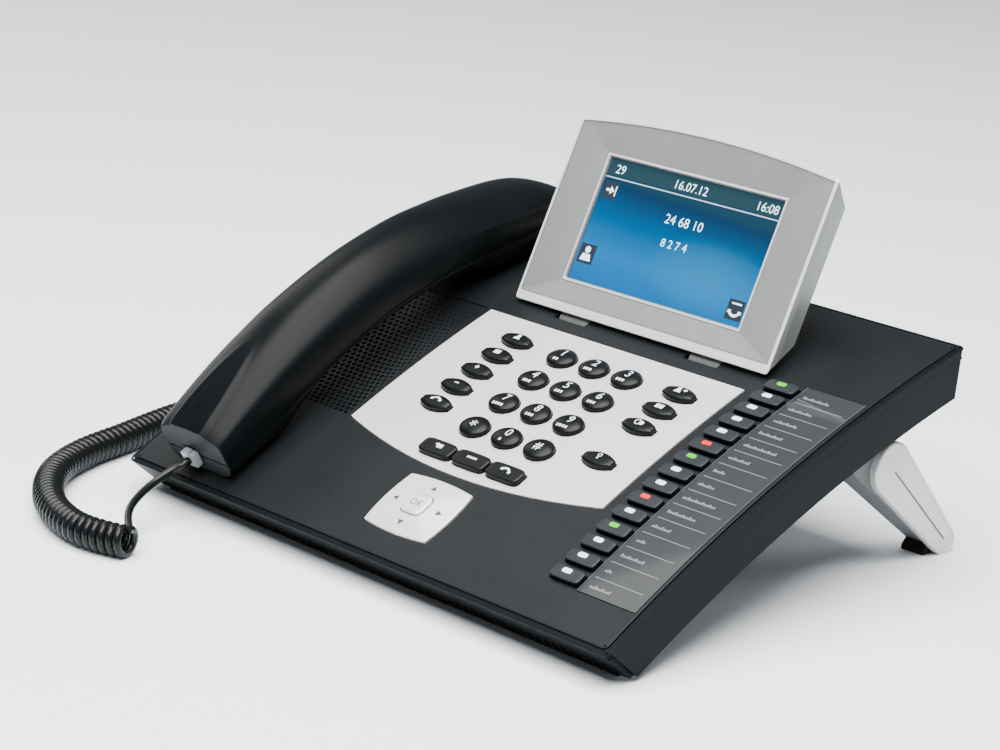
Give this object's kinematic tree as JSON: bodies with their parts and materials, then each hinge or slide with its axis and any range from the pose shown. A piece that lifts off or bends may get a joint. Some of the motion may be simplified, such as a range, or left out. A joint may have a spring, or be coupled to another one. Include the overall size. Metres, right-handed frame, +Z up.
{
  "type": "desk ip phone",
  "caption": "Arched desk phone with a tilting colour display, silver keypad plate, line keys, corded handset and a fold-out stand.",
  "frame": {"origin": "bottom centre of the phone standing on its stand, without its cord, on the table", "axes": "+X to the user's right, +Y away from the user, +Z up"},
  "size_m": [0.3273, 0.2772, 0.1563],
  "materials": {
    "deck_plastic": "fine-textured matt anthracite",
    "body_plastic": "fine-textured matt black",
    "silver_plate": "satin silver paint",
    "display_silver": "satin silver-grey paint",
    "key_plastic": "satin near-black",
    "nav_silver": "satin light silver paint",
    "handset_plastic": "satin gloss black",
    "cord_jacket": "glossy black PVC",
    "screen": "colour liquid-crystal screen, blue picture",
    "rubber": "matt black rubber",
    "stand_plastic": "light silver caps on a grey body",
    "circuit_board": "green solder mask",
    "clear_cover": "clear polycarbonate",
    "clear_plug": "clear polycarbonate"
  },
  "bodies": {
    "base": {"deck_lid": "deck_plastic", "body_tub": "body_plastic", "main_board": "circuit_board", "speaker_grille": "deck_plastic", "front_foot": "rubber", "keypad_plate": "silver_plate", "label_cover": "clear_cover", "handset_lead": "cord_jacket", "cord_coil": "cord_jacket", "base_lead": "cord_jacket", "base_plug": "clear_plug"},
    "display": {"display_bezel": "display_silver", "display_back": "display_silver", "lcd_panel": "screen"},
    "stand_body": {"stand": "stand_plastic"},
    "handset": {"handset_back": "handset_plastic", "handset_front": "handset_plastic", "handset_plug": "clear_plug"},
    "hook": {"hook_switch": "key_plastic"},
    "nav_pad_body": {"nav_pad": "nav_silver"},
    "ok_key_body": {"ok_key": "nav_silver"},
    "digit_key_1_body": {"digit_key_1": "key_plastic"},
    "digit_key_2_body": {"digit_key_2": "key_plastic"},
    "digit_key_3_body": {"digit_key_3": "key_plastic"},
    "digit_key_4_body": {"digit_key_4": "key_plastic"},
    "digit_key_5_body": {"digit_key_5": "key_plastic"},
    "digit_key_6_body": {"digit_key_6": "key_plastic"},
    "digit_key_7_body": {"digit_key_7": "key_plastic"},
    "digit_key_8_body": {"digit_key_8": "key_plastic"},
    "digit_key_9_body": {"digit_key_9": "key_plastic"},
    "digit_key_star_body": {"digit_key_star": "key_plastic"},
    "digit_key_0_body": {"digit_key_0": "key_plastic"},
    "digit_key_hash_body": {"digit_key_hash": "key_plastic"},
    "left_key_1_body": {"left_key_1": "key_plastic"},
    "left_key_2_body": {"left_key_2": "key_plastic"},
    "left_key_3_body": {"left_key_3": "key_plastic"},
    "left_key_4_body": {"left_key_4": "key_plastic"},
    "left_key_5_body": {"left_key_5": "key_plastic"},
    "right_key_1_body": {"right_key_1": "key_plastic"},
    "right_key_2_body": {"right_key_2": "key_plastic"},
    "right_key_3_body": {"right_key_3": "key_plastic"},
    "right_key_4_body": {"right_key_4": "key_plastic"},
    "call_key_1_body": {"call_key_1": "key_plastic"},
    "call_key_2_body": {"call_key_2": "key_plastic"},
    "call_key_3_body": {"call_key_3": "key_plastic"},
    "line_key_1_body": {"line_key_1": "key_plastic"},
    "line_key_2_body": {"line_key_2": "key_plastic"},
    "line_key_3_body": {"line_key_3": "key_plastic"},
    "line_key_4_body": {"line_key_4": "key_plastic"},
    "line_key_5_body": {"line_key_5": "key_plastic"},
    "line_key_6_body": {"line_key_6": "key_plastic"},
    "line_key_7_body": {"line_key_7": "key_plastic"},
    "line_key_8_body": {"line_key_8": "key_plastic"},
    "line_key_9_body": {"line_key_9": "key_plastic"},
    "line_key_10_body": {"line_key_10": "key_plastic"},
    "line_key_11_body": {"line_key_11": "key_plastic"},
    "line_key_12_body": {"line_key_12": "key_plastic"},
    "line_key_13_body": {"line_key_13": "key_plastic"},
    "line_key_14_body": {"line_key_14": "key_plastic"},
    "line_key_15_body": {"line_key_15": "key_plastic"}
  },
  "joints": [
    {"name": "display_tilt", "type": "hinge", "parent": "base", "child": "display", "pos_m": [0.0153, 0.03943, 0.07386], "axis": [1, 0, 0], "range_deg": [-12, 20]},
    {"name": "stand_fold", "type": "hinge", "parent": "base", "child": "stand_body", "pos_m": [0, 0.05203, 0.05077], "axis": [1, 0, 0], "range_deg": [-118, 0]},
    {"name": "handset_lift", "type": "slide", "parent": "base", "child": "handset", "axis": [0, -0.3649, 0.9311], "range_m": [0, 0.06]},
    {"name": "hook_travel", "type": "slide", "parent": "base", "child": "hook", "axis": [0, -0.2578, 0.9662], "range_m": [0, 0.003]},
    {"name": "nav_pad_press", "type": "slide", "parent": "base", "child": "nav_pad_body", "axis": [0, -0.4615, 0.8871], "range_m": [-0.0008, 0], "stiffness_N_per_m": 150, "springref_m": 0.002},
    {"name": "ok_key_press", "type": "slide", "parent": "base", "child": "ok_key_body", "axis": [0, -0.4615, 0.8871], "range_m": [-0.001, 0], "stiffness_N_per_m": 150, "springref_m": 0.002},
    {"name": "digit_key_1_press", "type": "slide", "parent": "base", "child": "digit_key_1_body", "axis": [0, -0.3385, 0.941], "range_m": [-0.001, 0], "stiffness_N_per_m": 150, "springref_m": 0.002},
    {"name": "digit_key_2_press", "type": "slide", "parent": "base", "child": "digit_key_2_body", "axis": [0, -0.3385, 0.941], "range_m": [-0.001, 0], "stiffness_N_per_m": 150, "springref_m": 0.002},
    {"name": "digit_key_3_press", "type": "slide", "parent": "base", "child": "digit_key_3_body", "axis": [0, -0.3385, 0.941], "range_m": [-0.001, 0], "stiffness_N_per_m": 150, "springref_m": 0.002},
    {"name": "digit_key_4_press", "type": "slide", "parent": "base", "child": "digit_key_4_body", "axis": [0, -0.3607, 0.9327], "range_m": [-0.001, 0], "stiffness_N_per_m": 150, "springref_m": 0.002},
    {"name": "digit_key_5_press", "type": "slide", "parent": "base", "child": "digit_key_5_body", "axis": [0, -0.3607, 0.9327], "range_m": [-0.001, 0], "stiffness_N_per_m": 150, "springref_m": 0.002},
    {"name": "digit_key_6_press", "type": "slide", "parent": "base", "child": "digit_key_6_body", "axis": [0, -0.3607, 0.9327], "range_m": [-0.001, 0], "stiffness_N_per_m": 150, "springref_m": 0.002},
    {"name": "digit_key_7_press", "type": "slide", "parent": "base", "child": "digit_key_7_body", "axis": [0, -0.3826, 0.9239], "range_m": [-0.001, 0], "stiffness_N_per_m": 150, "springref_m": 0.002},
    {"name": "digit_key_8_press", "type": "slide", "parent": "base", "child": "digit_key_8_body", "axis": [0, -0.3826, 0.9239], "range_m": [-0.001, 0], "stiffness_N_per_m": 150, "springref_m": 0.002},
    {"name": "digit_key_9_press", "type": "slide", "parent": "base", "child": "digit_key_9_body", "axis": [0, -0.3826, 0.9239], "range_m": [-0.001, 0], "stiffness_N_per_m": 150, "springref_m": 0.002},
    {"name": "digit_key_star_press", "type": "slide", "parent": "base", "child": "digit_key_star_body", "axis": [0, -0.4044, 0.9146], "range_m": [-0.001, 0], "stiffness_N_per_m": 150, "springref_m": 0.002},
    {"name": "digit_key_0_press", "type": "slide", "parent": "base", "child": "digit_key_0_body", "axis": [0, -0.4044, 0.9146], "range_m": [-0.001, 0], "stiffness_N_per_m": 150, "springref_m": 0.002},
    {"name": "digit_key_hash_press", "type": "slide", "parent": "base", "child": "digit_key_hash_body", "axis": [0, -0.4044, 0.9146], "range_m": [-0.001, 0], "stiffness_N_per_m": 150, "springref_m": 0.002},
    {"name": "left_key_1_press", "type": "slide", "parent": "base", "child": "left_key_1_body", "axis": [0, -0.3366, 0.9416], "range_m": [-0.001, 0], "stiffness_N_per_m": 150, "springref_m": 0.002},
    {"name": "left_key_2_press", "type": "slide", "parent": "base", "child": "left_key_2_body", "axis": [0, -0.3521, 0.936], "range_m": [-0.001, 0], "stiffness_N_per_m": 150, "springref_m": 0.002},
    {"name": "left_key_3_press", "type": "slide", "parent": "base", "child": "left_key_3_body", "axis": [0, -0.3675, 0.93], "range_m": [-0.001, 0], "stiffness_N_per_m": 150, "springref_m": 0.002},
    {"name": "left_key_4_press", "type": "slide", "parent": "base", "child": "left_key_4_body", "axis": [0, -0.3829, 0.9238], "range_m": [-0.001, 0], "stiffness_N_per_m": 150, "springref_m": 0.002},
    {"name": "left_key_5_press", "type": "slide", "parent": "base", "child": "left_key_5_body", "axis": [0, -0.3981, 0.9173], "range_m": [-0.001, 0], "stiffness_N_per_m": 150, "springref_m": 0.002},
    {"name": "right_key_1_press", "type": "slide", "parent": "base", "child": "right_key_1_body", "axis": [0, -0.3372, 0.9414], "range_m": [-0.001, 0], "stiffness_N_per_m": 150, "springref_m": 0.002},
    {"name": "right_key_2_press", "type": "slide", "parent": "base", "child": "right_key_2_body", "axis": [0, -0.3528, 0.9357], "range_m": [-0.001, 0], "stiffness_N_per_m": 150, "springref_m": 0.002},
    {"name": "right_key_3_press", "type": "slide", "parent": "base", "child": "right_key_3_body", "axis": [0, -0.3682, 0.9298], "range_m": [-0.001, 0], "stiffness_N_per_m": 150, "springref_m": 0.002},
    {"name": "right_key_4_press", "type": "slide", "parent": "base", "child": "right_key_4_body", "axis": [0, -0.3981, 0.9173], "range_m": [-0.001, 0], "stiffness_N_per_m": 150, "springref_m": 0.002},
    {"name": "call_key_1_press", "type": "slide", "parent": "base", "child": "call_key_1_body", "axis": [0, -0.4257, 0.9048], "range_m": [-0.001, 0], "stiffness_N_per_m": 150, "springref_m": 0.002},
    {"name": "call_key_2_press", "type": "slide", "parent": "base", "child": "call_key_2_body", "axis": [0, -0.4257, 0.9048], "range_m": [-0.001, 0], "stiffness_N_per_m": 150, "springref_m": 0.002},
    {"name": "call_key_3_press", "type": "slide", "parent": "base", "child": "call_key_3_body", "axis": [0, -0.4257, 0.9048], "range_m": [-0.001, 0], "stiffness_N_per_m": 150, "springref_m": 0.002},
    {"name": "line_key_1_press", "type": "slide", "parent": "base", "child": "line_key_1_body", "axis": [0, -0.3083, 0.9513], "range_m": [-0.001, 0], "stiffness_N_per_m": 150, "springref_m": 0.002},
    {"name": "line_key_2_press", "type": "slide", "parent": "base", "child": "line_key_2_body", "axis": [0, -0.3199, 0.9474], "range_m": [-0.001, 0], "stiffness_N_per_m": 150, "springref_m": 0.002},
    {"name": "line_key_3_press", "type": "slide", "parent": "base", "child": "line_key_3_body", "axis": [0, -0.3316, 0.9434], "range_m": [-0.001, 0], "stiffness_N_per_m": 150, "springref_m": 0.002},
    {"name": "line_key_4_press", "type": "slide", "parent": "base", "child": "line_key_4_body", "axis": [0, -0.3432, 0.9393], "range_m": [-0.001, 0], "stiffness_N_per_m": 150, "springref_m": 0.002},
    {"name": "line_key_5_press", "type": "slide", "parent": "base", "child": "line_key_5_body", "axis": [0, -0.3547, 0.935], "range_m": [-0.001, 0], "stiffness_N_per_m": 150, "springref_m": 0.002},
    {"name": "line_key_6_press", "type": "slide", "parent": "base", "child": "line_key_6_body", "axis": [0, -0.3661, 0.9306], "range_m": [-0.001, 0], "stiffness_N_per_m": 150, "springref_m": 0.002},
    {"name": "line_key_7_press", "type": "slide", "parent": "base", "child": "line_key_7_body", "axis": [0, -0.3776, 0.926], "range_m": [-0.001, 0], "stiffness_N_per_m": 150, "springref_m": 0.002},
    {"name": "line_key_8_press", "type": "slide", "parent": "base", "child": "line_key_8_body", "axis": [0, -0.3889, 0.9213], "range_m": [-0.001, 0], "stiffness_N_per_m": 150, "springref_m": 0.002},
    {"name": "line_key_9_press", "type": "slide", "parent": "base", "child": "line_key_9_body", "axis": [0, -0.4002, 0.9164], "range_m": [-0.001, 0], "stiffness_N_per_m": 150, "springref_m": 0.002},
    {"name": "line_key_10_press", "type": "slide", "parent": "base", "child": "line_key_10_body", "axis": [0, -0.4115, 0.9114], "range_m": [-0.001, 0], "stiffness_N_per_m": 150, "springref_m": 0.002},
    {"name": "line_key_11_press", "type": "slide", "parent": "base", "child": "line_key_11_body", "axis": [0, -0.4226, 0.9063], "range_m": [-0.001, 0], "stiffness_N_per_m": 150, "springref_m": 0.002},
    {"name": "line_key_12_press", "type": "slide", "parent": "base", "child": "line_key_12_body", "axis": [0, -0.4338, 0.901], "range_m": [-0.001, 0], "stiffness_N_per_m": 150, "springref_m": 0.002},
    {"name": "line_key_13_press", "type": "slide", "parent": "base", "child": "line_key_13_body", "axis": [0, -0.4448, 0.8956], "range_m": [-0.001, 0], "stiffness_N_per_m": 150, "springref_m": 0.002},
    {"name": "line_key_14_press", "type": "slide", "parent": "base", "child": "line_key_14_body", "axis": [0, -0.4558, 0.8901], "range_m": [-0.001, 0], "stiffness_N_per_m": 150, "springref_m": 0.002},
    {"name": "line_key_15_press", "type": "slide", "parent": "base", "child": "line_key_15_body", "axis": [0, -0.4667, 0.8844], "range_m": [-0.001, 0], "stiffness_N_per_m": 150, "springref_m": 0.002}
  ],
  "couplings": [
    {"joint": "hook_travel", "follows": "handset_lift", "ratio": 0.05}
  ]
}
